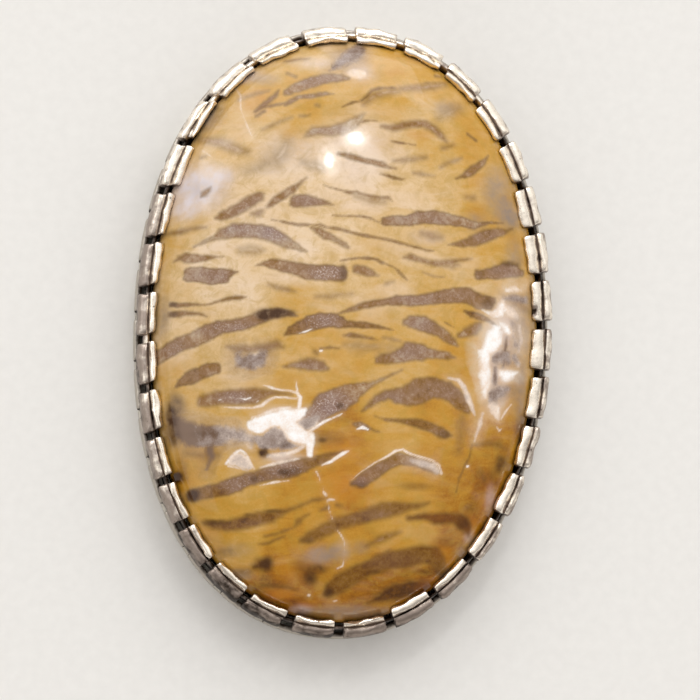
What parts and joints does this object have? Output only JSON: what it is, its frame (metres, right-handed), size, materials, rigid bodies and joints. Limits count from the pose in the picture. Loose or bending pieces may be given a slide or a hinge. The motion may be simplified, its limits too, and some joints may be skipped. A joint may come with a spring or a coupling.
{
  "type": "petrified wood cabochon in a silver bezel",
  "caption": "Oval domed cabochon of polished petrified wood in a silver bezel of short tabs, with a brick-like rail round its foot and a flat back plate.",
  "frame": {"origin": "middle of the setting's footprint, on the surface that the back plate lies on", "axes": "+Z out of the stone's face, +Y along the oval towards its top, +X across it to the right"},
  "size_m": [0.0311, 0.0456, 0.0091],
  "materials": {
    "petrified_wood": "polished",
    "silver": "satin",
    "dark_silver": "satin"
  },
  "bodies": {
    "root": {"petrified_wood_cabochon": "petrified_wood", "bezel_band": "silver", "foot_rail": "dark_silver", "back_plate": "dark_silver"}
  },
  "joints": []
}
